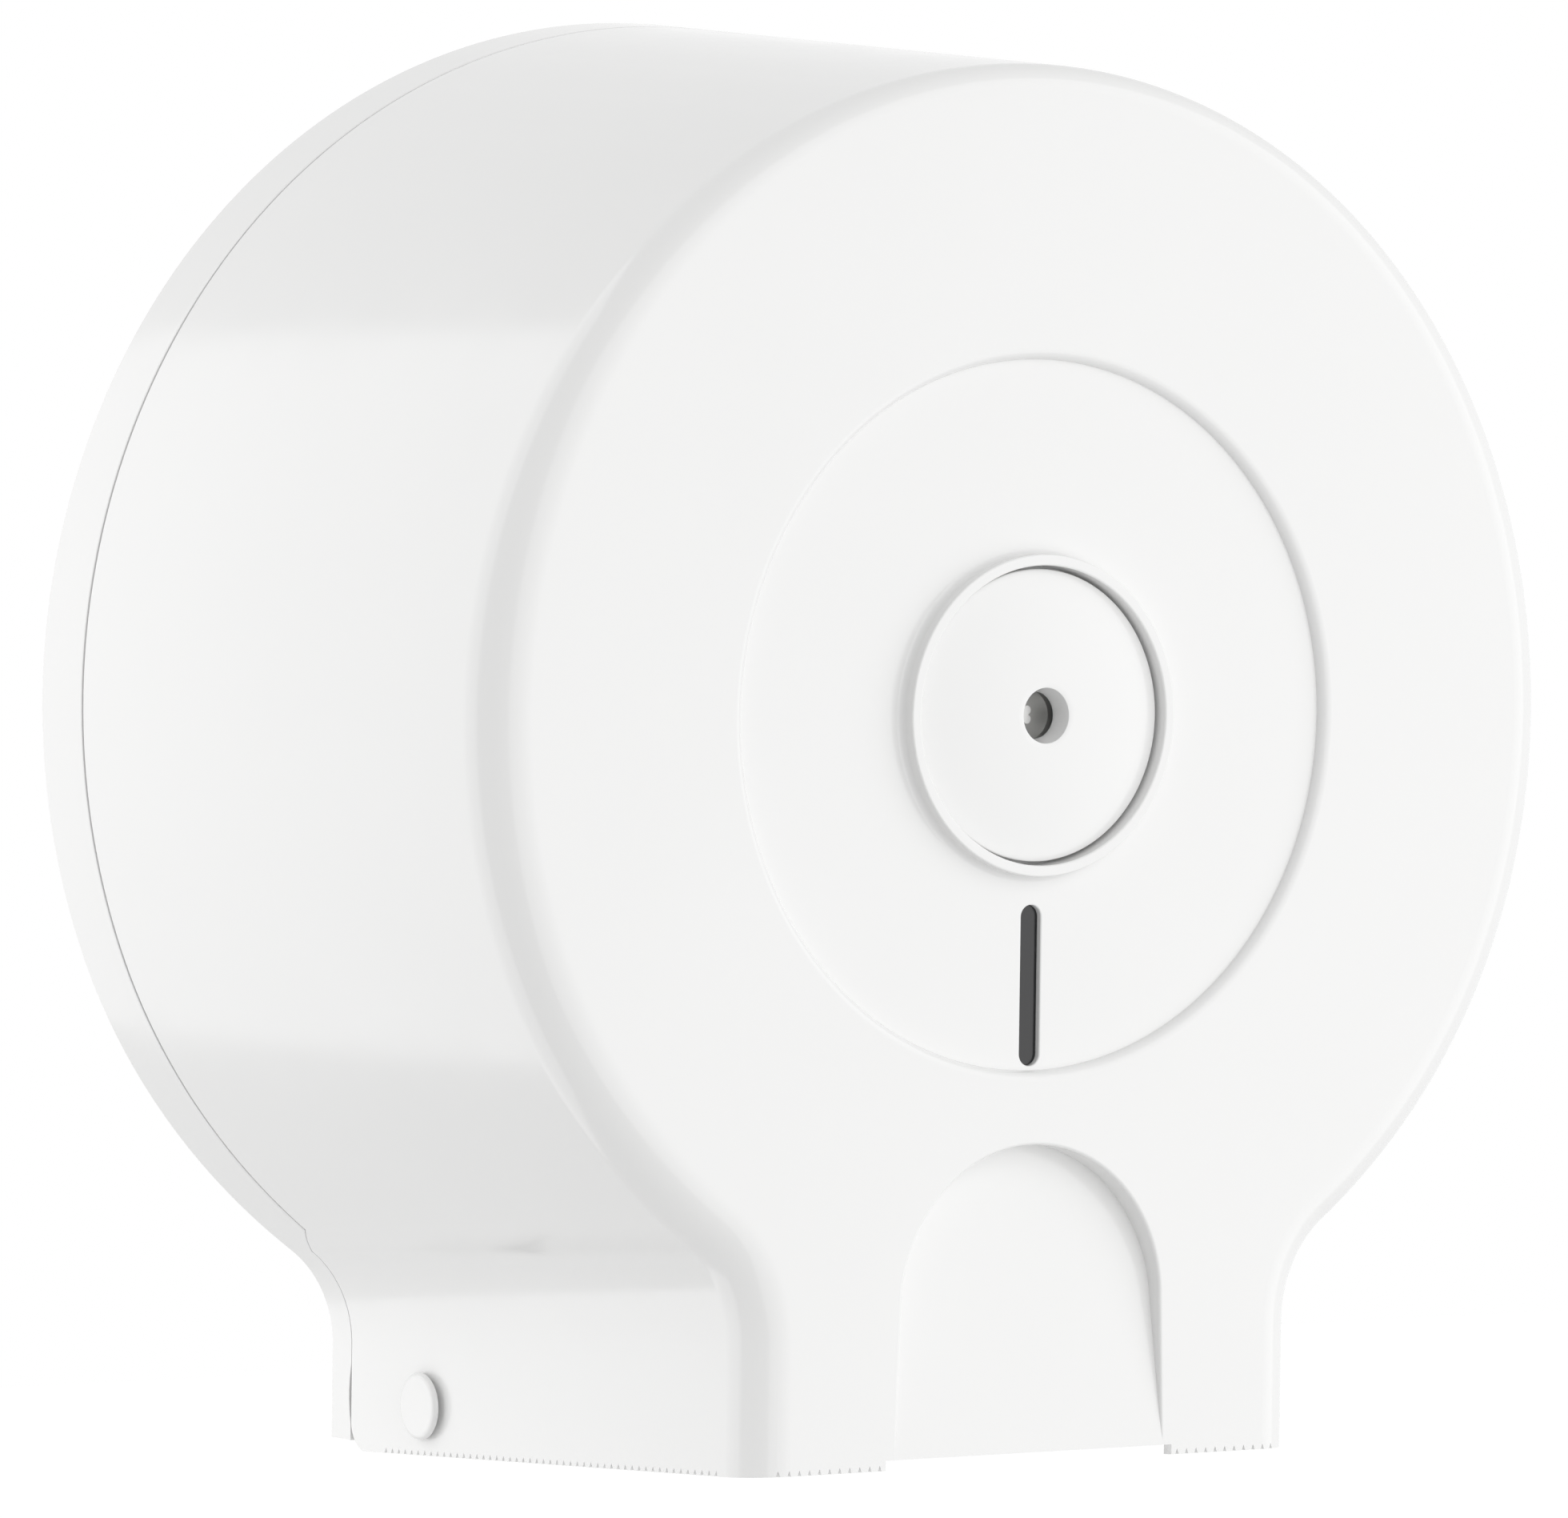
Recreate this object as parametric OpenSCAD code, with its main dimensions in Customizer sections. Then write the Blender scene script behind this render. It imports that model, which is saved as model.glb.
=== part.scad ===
// Round wall dispenser for one large paper roll.
// A shallow back shell is screwed to the wall and carries a fixed spindle with a turning spool.
// A drum-shaped front cover swings down on two pins in its foot and is held shut by a centre lock.
// Millimetres. The wall is the plane y = 0, the front faces -Y and +Z is up.
// The origin is on the wall, on the axis of the spindle and the drum.

/* [Drum] */
// Outer radius of the drum at the wall
rim_r = 140; // [132:1:150]
// Outer radius of the drum at the front face, before its edge is rounded
face_r = 126.8; // [122:0.2:130]
// Depth from the wall to the front face
body_d = 147.5; // [145:0.5:155]
// Radius of the rounded edge between the body's sides and its face
edge_r = 9; // [5:0.5:10]
// Radius of the same edge at the top of the drum, where it is tightest
top_edge_r = 4.5; // [3:0.5:8]
// How far the drum's lower flanks are drawn in from the round, just above the foot, at the wall
flank_in = 1.35; // [0:0.05:1.5]
// The same at the front face
flank_front_in = 0.4; // [0:0.05:1.5]
// Wall thickness of both shells
wall = 2.5; // [2:0.1:2.8]

/* [Foot] */
// Width of the foot at the wall
foot_w = 140.4; // [136:0.2:150]
// Width of the foot at the front face
foot_front_w = 131.2; // [128:0.2:135]
// Distance from the drum's axis down to the bottom of the back shell
foot_drop = 151.6; // [150:0.2:156]
// Radius of the hollow curve where the drum runs into the foot
blend_r = 24; // [18:1:30]

/* [Seam] */
// Depth of the cover's rear edge round the drum
seam_d = 14.5; // [13:0.5:16]
// Depth of the cover's rear edge beside the foot
foot_seam_d = 7.5; // [7:0.5:9]
// Open gap between the two shells round the drum
seam_gap = 0.7; // [0.5:0.1:0.9]
// Open gap between the two shells beside the foot
foot_gap = 0.2; // [0.15:0.05:0.6]

/* [Tear edge] */
// Distance from the axis down to the tear edge at its rear end
lip_rear_drop = 153.7; // [153:0.1:155]
// Distance from the axis down to the tear edge at the front face
lip_front_drop = 146.3; // [146:0.1:147]
// Pitch of the teeth
tooth_pitch = 2.35; // [2:0.05:3]
// Depth and width of each notch
tooth = 1.1; // [0.8:0.1:1.4]

/* [Face] */
// Radius of the sunken round panel
panel_r = 69.5; // [66:0.5:72]
// Depth of the sunken panel
panel_sink = 2.2; // [1.5:0.1:2.5]
// Radius of the arch at the bottom of the face
arch_r = 31; // [28:0.5:33]
// Height of the arch's top below the axis
arch_top = 84; // [82:0.5:88]
// Depth of the arch at its top
arch_sink = 7.1; // [5:0.1:8]
// Length of the level slot
slot_len = 31.5; // [26:0.5:33]
// Radius of the level slot's ends
slot_r = 2.35; // [2:0.05:3]
// Height of the slot's middle below the axis
slot_u = 52.9; // [51:0.1:54]

/* [Lock] */
// Inner radius of the collar round the lock
collar_r = 29.3; // [29:0.1:30]
// Height of the collar above the front face
collar_h = 1.5; // [1:0.1:2]
// Radius of the domed rosette
rosette_r = 28.6; // [28:0.1:28.9]
// Radius of the keyhole's mouth
key_r = 5.4; // [5:0.1:6]
// Reach of the lock bolt from the axis
bolt_reach = 19; // [17:0.5:19.5]

/* [Spindle] */
// Outer radius of the fixed post
post_r = 19; // [18:0.5:19.5]
// Outer radius of the turning spool that carries the roll's core
spool_r = 27; // [26:0.5:28]
// Depth of the post's front end
post_d = 112; // [110:0.5:113]

/* [Hinge] */
// Depth of the hinge axis
hinge_d = 34.5; // [33:0.5:36]
// Distance of the hinge axis below the drum's axis
hinge_drop = 142.2; // [141:0.1:143]
// Radius of the hinge pins
pin_r = 3; // [2.5:0.1:3.5]
// Radius of the pin's round head
cap_r = 6.8; // [6:0.1:7.5]

/* [Wall fixing] */
// Distance between the wall holes across
hole_span_x = 150; // [140:1:156]
// Distance between the wall holes up and down
hole_span_z = 120; // [110:1:130]
// Radius of the wall holes
hole_r = 2.75; // [2.25:0.25:3.25]

/* [Hidden] */
$fn = 96;

white = [0.93, 0.93, 0.92];
grey = [0.62, 0.63, 0.64];
steel = [0.72, 0.73, 0.74];
dark = [0.12, 0.12, 0.11];

// Steps round the drum and along each hollow curve of the outline
drum_steps = 72;
blend_steps = 7;
// Angle below the sides at which the lower flanks begin to be drawn in
flank_from = 22;
// Running clearance of the turning parts, on the radius, and the smaller one of fixed parts
run = 0.06;
snug = 0.05;
// Drop clear below the foot, to which the raw body and its cuts reach
low_drop = 160;

// Depths, measured from the wall towards the front
panel_d = body_d - panel_sink;
panel_back_d = panel_d - wall;
collar_d = body_d + collar_h;
collar_t = 2.2;
dome_rise = 3.1;
rosette_edge_d = collar_d - 2.5;
rosette_top_d = rosette_edge_d + dome_rise;
ledge_d = rosette_edge_d - 4.1;
ledge_r = 24;
floor_d = ledge_d - 2.5;
floor_back_d = floor_d - wall;
lock_boss_r = 33;
stake_x = 5;
stake_r = 1.4;

// Lock levels
barrel_r = 6.5;
barrel_head_r = 7.5;
barrel_face_d = 143;
barrel_head_d = 141;
housing_r = 9;
housing_back_d = 126;
lock_washer_t = 0.7;
bolt_t = 2;
bolt_d = 123.6;
bolt_w = 12;
drive_w = 8;
bolt_screw_r = 2;
hook_d = bolt_d + bolt_t + 0.5;
hook_t = 1.5;
keeper_x = bolt_reach + 3;
rosette_peg_r = 20;

// Spindle levels
boss_r = 40;
boss_d = 6.5;
flange_r = 36;
flange_t = 3.5;
flange_screw_r = 29;
flange_screw_len = 6.5;
shoulder_d = 13.8;
spool_back_d = 14;
spool_front_d = 104;
washer_t = 0.8;
ring_d = 105.15;
ring_t = 1.1;
keeper_t = 2;
keeper_screw_x = [-12, 8];
keeper_screw_len = 6;

// Hinge
lug_in = 59.5;
lug_out = 65;
lug_r = 10;
clip_t = 0.8;
clip_groove_w = 0.9;
clip_groove_x = lug_in - 1.5;
clip_groove_r = pin_r - 0.7;
ear_r = 40;
lip_round_r = 6;
hinge_u = -hinge_drop;

// Outer radius of the drum and half width of the foot at a depth
function drum_r(d) = rim_r - (rim_r - face_r) * d / body_d;
function foot_x(d) = (foot_w - (foot_w - foot_front_w) * d / body_d) / 2;
function flank(d) = flank_in - (flank_in - flank_front_in) * d / body_d;

// Share of the flank's inset in a direction round the drum: none at the sides, all of it at angle a
// below them, where the hollow curve begins
function flank_share(angle, a) =
    let (x = max(0, max(-angle, angle - 180) - flank_from) / (a - flank_from)) x * x * (3 - 2 * x);

// Radius of the rounded front edge in a direction round the drum
function edge_at(angle) = edge_r - (edge_r - top_edge_r) * pow(max(0, sin(angle)), 2);

// A level of a shell is [depth, inset], or on its rounded front edge [0, skin, turn], where skin is
// its distance inside the outer surface and turn runs from 0 at the side to 90 at the face.
// Either comes out as [depth, inset] for an edge of radius e.
function level_at(level, e) =
    len(level) == 2 ? level
    : let (q = e - level[1]) [body_d - e + q * sin(level[2]), level[1] + q * (1 - cos(level[2]))];

// Outline of the body at a level as [x, height, depth], from the foot's bottom right corner up
// round the drum to its bottom left corner
function outline(level, drop) =
    let (low = level_at(level, edge_r),
         d = low[0],
         w = foot_x(d) - low[1],
         b = blend_r + low[1],
         cx = w + b,
         cu = -sqrt(pow(drum_r(d) - flank(d) - low[1] + b, 2) - pow(cx, 2)),
         a = atan2(-cu, cx),
         blend = [for (i = [0:blend_steps]) let (t = 180 - a * i / blend_steps)
                  [cx + b * cos(t), cu + b * sin(t), d]],
         drum = [for (i = [1:drum_steps - 1])
                 let (t = -a + (180 + 2 * a) * i / drum_steps,
                      l = level_at(level, edge_at(t)),
                      r = drum_r(l[0]) - flank(l[0]) * flank_share(t, a) - l[1])
                 [r * cos(t), r * sin(t), l[0]]])
    concat([[w, -drop, d]], blend, drum,
           [for (i = [blend_steps:-1:0]) [-blend[i].x, blend[i].y, d]], [[-w, -drop, d]]);

// Levels of the rounded front edge
function edge_levels(step, skin) = [for (turn = [0:step:90]) [0, skin, turn]];

// Turns a shape drawn in front view, with its height as depth, so that it stands out of the wall
module from_wall() {
    rotate([90, 0, 0]) children();
}

// Closed solid through the outlines at the given levels, its two ends fanned from the axis
module loft(levels, drop) {
    rings = [for (l = levels) outline(l, drop)];
    n = len(rings[0]);
    last = len(levels) - 1;
    centre = n * len(levels);
    sides = [for (k = [0:last - 1], i = [0:n - 1])
             let (j = (i + 1) % n, a = k * n, b = a + n)
             each [[a + i, b + i, b + j], [a + i, b + j, a + j]]];
    ends = [for (i = [0:n - 1]) let (j = (i + 1) % n)
            each [[centre, i, j], [centre + 1, last * n + j, last * n + i]]];
    polyhedron(concat([for (ring = rings, p = ring) p],
                      [[0, 0, rings[0][0].z], [0, 0, rings[last][0].z]]), concat(sides, ends));
}

// Extrudes a [depth, height] profile across the body
module across(w) {
    rotate([0, -90, 0]) linear_extrude(w, center = true) children();
}

// Cylinder along the hinge axis
module on_hinge(r, w = 2 * rim_r) {
    translate([0, hinge_u, hinge_d]) rotate([0, 90, 0]) cylinder(r = r, h = w, center = true);
}

// Disc or tube round the drum's axis, between two depths
module tube(r_out, r_in, d0, d1) {
    translate([0, 0, d0]) difference() {
        cylinder(r = r_out, h = d1 - d0);
        if (r_in > 0) translate([0, 0, -1]) cylinder(r = r_in, h = d1 - d0 + 2);
    }
}

// Children repeated round the axis
module around(count, radius, start = 0) {
    for (i = [0:count - 1]) rotate(start + 360 * i / count) translate([radius, 0, 0]) children();
}

// Upright slot with round ends, centred on its middle
module slot_2d(length, r) {
    for (s = [-1, 1]) translate([0, s * (length / 2 - r)]) circle(r);
    square([2 * r, length - 2 * r], center = true);
}

// Pan-head screw with a cross recess, its head's underside at depth d
module screw(r, head_r, head_t, d, length) {
    difference() {
        union() {
            translate([0, 0, d - length]) cylinder(r = r, h = length);
            translate([0, 0, d]) cylinder(r1 = head_r, r2 = head_r * 0.82, h = head_t);
        }
        for (a = [0, 90]) rotate(a)
            translate([-head_r * 0.55, -0.4, d + head_t * 0.4]) cube([head_r * 1.1, 0.8, head_t]);
    }
}

// Front-view arch, grown outwards, open towards the bottom
module arch_2d(grow) {
    r = arch_r + grow;
    mid = -arch_top - arch_r;
    flare = 1.6;
    translate([0, mid]) circle(r);
    polygon([[-r, mid], [-r - flare, -low_drop], [r + flare, -low_drop], [r, mid]]);
}

// Space in front of the arch's sloping floor, which lies sink deep at the top and flush at the bottom
module arch_space(back, front) {
    bottom = lip_front_drop - 2;
    top = arch_top - 8;
    slope = arch_sink / (bottom - arch_top);
    across(2 * rim_r)
        polygon([[back, -low_drop], [back, -bottom], [back - slope * (bottom - top), -top],
                 [front, -top], [front, -low_drop]]);
}

// Everything below the tear edge, with a notch for every tooth along both sides and the front
module below_lip() {
    rise = (lip_rear_drop - lip_front_drop) / (body_d - foot_seam_d);
    function lip_u(d) = -lip_rear_drop + (d - foot_seam_d) * rise;
    floor_u = -low_drop - 10;
    front_d = body_d + 1;
    // Notches along the sides, from a plain stretch at the rear to the rounded front edge
    first = foot_seam_d + 13;
    side_teeth = floor((body_d - edge_r - first) / tooth_pitch);
    notches = [for (i = [0:side_teeth - 1]) let (d = first + i * tooth_pitch)
               each [[d - tooth / 2, lip_u(d)], [d, lip_u(d) + tooth], [d + tooth / 2, lip_u(d)]]];
    across(2 * rim_r)
        polygon(concat([[0, floor_u], [0, lip_u(0)]], notches,
                       [[front_d, lip_u(front_d)], [front_d, floor_u]]));
    // Rounded rear corner
    across(2 * rim_r) difference() {
        translate([foot_seam_d - 3, -lip_rear_drop - 3]) square([lip_round_r + 3, lip_round_r + 3]);
        translate([foot_seam_d + lip_round_r, -lip_rear_drop + lip_round_r + 0.1]) circle(lip_round_r);
    }
    // Notches along the front on both sides of the gap under the arch
    gap_w = 34.4;
    gap_h = 2;
    first_x = gap_w + 1.4;
    front_teeth = floor((foot_front_w / 2 - 3 - gap_w - tooth_pitch) / tooth_pitch);
    for (s = [-1, 1], i = [0:front_teeth])
        translate([s * (first_x + i * tooth_pitch), -lip_front_drop, body_d - edge_r + 2])
            linear_extrude(edge_r)
                polygon([[-tooth / 2, -1], [-tooth / 2, -0.3], [0, tooth], [tooth / 2, -0.3],
                         [tooth / 2, -1]]);
    translate([-gap_w, floor_u, body_d - edge_r])
        cube([2 * gap_w, gap_h - lip_front_drop - floor_u, edge_r + 1]);
}

module back_shell() {
    front_d = seam_d - seam_gap;
    foot_front_d = foot_seam_d - foot_gap;
    rib_count = 8;
    rib_t = 2;
    rib_h = 3.5;
    pad_r = 8;
    pad_h = 2;
    color(white) from_wall() {
        difference() {
            union() {
                difference() {
                    loft([[0, 0], [front_d, 0]], foot_drop);
                    loft([[wall, wall], [front_d + 1, wall]], foot_drop - wall);
                }
                tube(boss_r, 0, wall - 0.1, boss_d);
                around(rib_count, boss_r - 1) translate([0, -rib_t / 2, wall - 0.1])
                    cube([rim_r - boss_r - 2, rib_t, rib_h + 0.1]);
                for (x = [-1, 1], u = [-1, 1])
                    translate([x * hole_span_x / 2, u * hole_span_z / 2, wall - 0.1])
                        cylinder(r = pad_r, h = pad_h + 0.1);
                back_shell_tongue(front_d);
            }
            intersection() {
                on_hinge(ear_r + foot_gap);
                translate([-rim_r, -2 * rim_r, foot_front_d]) cube([2 * rim_r, 2 * rim_r, rim_r]);
            }
            on_hinge(rear_reach() + foot_gap);
            for (x = [-1, 1], u = [-1, 1]) translate([x * hole_span_x / 2, u * hole_span_z / 2, -1])
                cylinder(r = hole_r, h = 8);
            around(4, flange_screw_r, 45) translate([0, 0, 3]) cylinder(r = 2 + snug, h = boss_d);
        }
        for (s = [-1, 1]) hinge_lug(s);
    }
}

// Reach of the cover's rear corner from the hinge axis; it swings back past the foot's rear edge
function rear_reach() =
    lip_round_r + norm([foot_seam_d + lip_round_r - hinge_d, hinge_drop - lip_rear_drop + lip_round_r + 0.1]);

// Inner rim that reaches into the cover round the upper part of the drum
module back_shell_tongue(front_d) {
    inset = wall + 0.7;
    t = 1.3;
    reach = 4;
    root_d = 9;
    root_r = drum_r(root_d) - wall + 0.4;
    low_u = 56;
    intersection() {
        rotate_extrude()
            polygon([[drum_r(root_d) - inset - t, root_d], [root_r, root_d], [root_r - 0.4, front_d],
                     [drum_r(front_d) - inset, front_d], [drum_r(front_d + reach) - inset, front_d + reach],
                     [drum_r(front_d + reach) - inset - t, front_d + reach]]);
        translate([-rim_r, -low_u, 0]) cube([2 * rim_r, 2 * rim_r, body_d]);
    }
}

// Upright ear inside the foot that carries a hinge pin
module hinge_lug(s) {
    translate([s * (lug_in + lug_out) / 2, 0, 0]) difference() {
        across(lug_out - lug_in) {
            polygon([[wall - 0.1, -foot_drop + 1], [hinge_d, hinge_u - lug_r], [hinge_d, hinge_u + lug_r],
                     [wall - 0.1, hinge_u + 20]]);
            translate([hinge_d, hinge_u]) circle(lug_r);
        }
        on_hinge(pin_r + run, 20);
    }
}

module spindle() {
    groove_r = post_r - 1.4;
    bore_r = post_r - 4;
    end_t = 6;
    foot_t = 2;
    bevel = 0.8;
    color(grey) from_wall() difference() {
        rotate_extrude()
            polygon([[bore_r, boss_d], [flange_r, boss_d], [flange_r, boss_d + flange_t],
                     [post_r + foot_t, boss_d + flange_t], [post_r + foot_t, shoulder_d],
                     [post_r, shoulder_d], [post_r, ring_d - snug], [groove_r, ring_d - snug],
                     [groove_r, ring_d + ring_t + snug], [post_r, ring_d + ring_t + snug],
                     [post_r, post_d - bevel], [post_r - bevel, post_d], [0, post_d],
                     [0, post_d - end_t], [bore_r, post_d - end_t]]);
        around(4, flange_screw_r, 45) cylinder(r = 2.3, h = 20);
        for (x = keeper_screw_x) translate([x, 0, post_d - 5]) cylinder(r = 1.5, h = 6);
    }
}

module spindle_screws() {
    color(steel) from_wall() around(4, flange_screw_r, 45)
        screw(2, 3.8, 2.2, boss_d + flange_t, flange_screw_len);
}

module roll_spool() {
    rear_r = 33;
    rear_t = 2.5;
    inner_r = post_r + 2.5;
    outer_in_r = spool_r - 2;
    nose_d = 96;
    land = 12;
    color(grey) from_wall() {
        rotate_extrude() {
            polygon([[post_r + run, spool_back_d], [inner_r, spool_back_d], [inner_r, nose_d - 2],
                     [outer_in_r, nose_d - 2], [outer_in_r, spool_back_d], [rear_r, spool_back_d],
                     [rear_r, spool_back_d + rear_t], [spool_r, spool_back_d + rear_t], [spool_r, nose_d],
                     [spool_r - 4, spool_front_d], [post_r + run, spool_front_d],
                     [post_r + run, spool_front_d - land], [post_r + 0.8, spool_front_d - land],
                     [post_r + 0.8, spool_back_d + land], [post_r + run, spool_back_d + land]]);
        }
        around(6, 0) translate([inner_r - 0.1, -1, spool_back_d + 1])
            cube([outer_in_r - inner_r + 0.2, 2, nose_d - spool_back_d - 2]);
    }
}

module thrust_washer() {
    color(grey) from_wall() tube(24, post_r + 0.1, spool_front_d + 0.15, spool_front_d + 0.15 + washer_t);
}

module retaining_ring() {
    color(steel) from_wall() difference() {
        tube(post_r + 3.2, post_r - 1.35, ring_d, ring_d + ring_t);
        translate([-7, -30, ring_d - 1]) cube([14, 18, ring_t + 2]);
    }
}

// Bent steel strip on the post's end; the lock bolt turns in behind its hook
module lock_keeper() {
    tail_x = -17;
    hook_x = 10.5;
    arm_x = keeper_x - 1.6;
    keeper_w = 16;
    color(steel) from_wall() difference() {
        rotate([90, 0, 0]) linear_extrude(keeper_w, center = true)
            polygon([[tail_x, post_d], [keeper_x, post_d], [keeper_x, hook_d + hook_t],
                     [hook_x, hook_d + hook_t], [hook_x, hook_d], [arm_x, hook_d],
                     [arm_x, post_d + keeper_t], [tail_x, post_d + keeper_t]]);
        for (x = keeper_screw_x) translate([x, 0, post_d - 1]) cylinder(r = 1.7, h = 5);
    }
}

module keeper_screws() {
    color(steel) from_wall() for (x = keeper_screw_x) translate([x, 0, 0])
        screw(1.45, 3, 1.7, post_d + keeper_t, keeper_screw_len);
}

module cover_shell() {
    color(white) from_wall() difference() {
        union() {
            difference() {
                union() {
                    difference() {
                        loft(concat([[foot_seam_d, 0]], edge_levels(15, 0)), low_drop);
                        loft(concat([[foot_seam_d - 1, wall]], edge_levels(30, wall)), low_drop + 10);
                    }
                    tube(panel_r + 4.5, 0, panel_back_d, body_d - 1);
                    tube(lock_boss_r, 0, floor_back_d, panel_d - 0.5);
                    intersection() {
                        translate([0, 0, body_d - 12]) linear_extrude(11) arch_2d(wall);
                        arch_space(body_d - wall, body_d);
                    }
                    for (s = [-1, 1]) translate([s * stake_x, -slot_u, panel_back_d - 2.6])
                        cylinder(r = stake_r, h = 3);
                }
                panel_space();
            }
            cover_collar();
        }
        cover_cuts();
    }
}

// Space of the sunken panel, whose outer edge is rounded
module panel_space() {
    rotate_extrude() difference() {
        translate([0, panel_d]) square([panel_r + panel_sink, panel_sink + 5]);
        translate([panel_r + panel_sink, panel_d]) circle(panel_sink);
    }
}

// Raised collar round the lock, with a flat crest, rounded edges and a small hollow at its root
module cover_collar() {
    crest_r = 0.4;
    root_r = 1.6;
    rotate_extrude() {
        translate([collar_r, panel_d - 0.5]) square([collar_t, collar_d - crest_r - panel_d + 0.5]);
        translate([collar_r + crest_r, panel_d]) square([collar_t - 2 * crest_r, collar_d - panel_d]);
        for (r = [crest_r, collar_t - crest_r]) translate([collar_r + r, collar_d - crest_r]) circle(crest_r);
        translate([collar_r + collar_t - 0.05, panel_d - 0.05]) difference() {
            square(root_r);
            translate([root_r, root_r]) circle(root_r);
        }
    }
}

module cover_cuts() {
    // Stepped pocket of the rosette and the hole of the lock housing
    tube(collar_r, 0, ledge_d, collar_d + 5);
    tube(ledge_r, 0, floor_d, collar_d);
    tube(housing_r + snug, 0, floor_back_d - 1, floor_d + 1);
    around(3, rosette_peg_r, 90) translate([0, 0, floor_back_d - 1]) cylinder(r = 1.5, h = 6);
    // Level slot
    translate([0, -slot_u, panel_back_d - 3]) linear_extrude(10) slot_2d(slot_len, slot_r);
    // Arch
    intersection() {
        translate([0, 0, body_d - 12]) linear_extrude(20) arch_2d(0);
        arch_space(body_d, body_d + 6);
    }
    // Rear edge, stepped back beside the foot along a curve round the hinge
    difference() {
        translate([-rim_r, -2 * rim_r, 0]) cube([2 * rim_r, 4 * rim_r, seam_d]);
        on_hinge(ear_r);
    }
    on_hinge(pin_r + snug);
    below_lip();
}

// Smoked pane staked behind the slot, its raised middle filling the slot from inside
module level_window() {
    pane_t = 1.5;
    pane_len = 37;
    pane_r = 7.4;
    middle_h = 1.3;
    play = 0.1;
    color(dark) from_wall() translate([0, -slot_u, 0]) difference() {
        union() {
            translate([0, 0, panel_back_d - pane_t]) linear_extrude(pane_t) slot_2d(pane_len, pane_r);
            translate([0, 0, panel_back_d - 0.1]) linear_extrude(middle_h + 0.1)
                slot_2d(slot_len - 2 * play, slot_r - play);
        }
        for (s = [-1, 1]) translate([s * stake_x, 0, panel_back_d - 3]) cylinder(r = stake_r + snug, h = 4);
    }
}

// Domed cover plate of the lock with the keyhole in its middle
module lock_rosette() {
    dome_r = (pow(rosette_r, 2) + pow(dome_rise, 2)) / (2 * dome_rise);
    centre_d = rosette_top_d - dome_r;
    skin = 2;
    hub_d = 145.2;
    hub_r = 8;
    throat_r = key_r - 0.8;
    peg_h = rosette_top_d - 2.6 - floor_d;
    color(white) from_wall() difference() {
        union() {
            rotate_extrude() difference() {
                intersection() {
                    translate([0, centre_d]) circle(dome_r);
                    translate([0, ledge_d]) square([rosette_r, 12]);
                }
                intersection() {
                    translate([0, centre_d]) circle(dome_r - skin);
                    translate([hub_r, ledge_d - 1]) square([rosette_r - 2.4 - hub_r, 12]);
                }
                translate([0, ledge_d - 1]) square([hub_r + 0.1, hub_d - ledge_d + 1]);
                polygon([[0, hub_d - 1], [throat_r, hub_d - 1], [throat_r, rosette_top_d - 3.2],
                         [key_r, rosette_top_d - 0.2], [key_r, rosette_top_d + 1], [0, rosette_top_d + 1]]);
            }
            around(3, rosette_peg_r, 90) translate([0, 0, floor_d + snug]) cylinder(r = 3, h = peg_h);
        }
        around(3, rosette_peg_r, 90) translate([0, 0, floor_d - 1]) cylinder(r = 1.25, h = 5);
    }
}

module rosette_screws() {
    color(steel) from_wall() around(3, rosette_peg_r, 90)
        translate([0, 0, floor_back_d]) mirror([0, 0, 1]) screw(1.2, 2.5, 1.5, 0, 6);
}

module lock_housing() {
    collar_out_r = 12;
    collar_len = 2;
    head_r = 9.2;
    front_d = barrel_face_d + 0.2;
    color(grey) from_wall() rotate_extrude()
        polygon([[barrel_r + run, housing_back_d], [housing_r, housing_back_d], [housing_r, floor_d],
                 [collar_out_r, floor_d], [collar_out_r, floor_d + collar_len],
                 [head_r, floor_d + collar_len], [head_r, front_d], [barrel_head_r + run, front_d],
                 [barrel_head_r + run, barrel_head_d - snug], [barrel_r + run, barrel_head_d - snug]]);
}

module lock_washer() {
    washer_out_r = 12.5;
    color(steel) from_wall()
        tube(washer_out_r, housing_r + snug, floor_back_d - snug - lock_washer_t, floor_back_d - snug);
}

module lock_nut() {
    nut_t = 4;
    corner_r = 12.7;
    color(steel) from_wall() translate([0, 0, floor_back_d - 2 * snug - lock_washer_t - nut_t]) difference() {
        rotate(30) cylinder(r = corner_r, h = nut_t, $fn = 6);
        translate([0, 0, -1]) cylinder(r = housing_r + snug, h = nut_t + 2);
    }
}

// Key socket: an open cup with a clover-shaped post, a bearing behind it and a square drive at the rear
module lock_barrel() {
    cup_r = 4.9;
    cup_d = 136;
    post_top_d = 141.7;
    clover_r = 0.9;
    clover_at = 1.25;
    clover_core_r = 1.2;
    screw_hole_depth = 9;
    color(steel) from_wall() difference() {
        union() {
            difference() {
                union() {
                    tube(barrel_r, 0, housing_back_d - 0.2, barrel_face_d - 0.5);
                    tube(barrel_head_r, 0, barrel_head_d, barrel_face_d);
                }
                tube(cup_r, 0, cup_d, barrel_face_d + 1);
            }
            translate([0, 0, cup_d - 0.5]) linear_extrude(post_top_d - cup_d + 0.5) {
                around(4, clover_at, 45) circle(clover_r);
                circle(clover_core_r);
            }
            translate([-drive_w / 2, -drive_w / 2, bolt_d]) cube([drive_w, drive_w, housing_back_d - bolt_d]);
        }
        tube(bolt_screw_r + snug, 0, bolt_d - 1, bolt_d + screw_hole_depth);
    }
}

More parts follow.
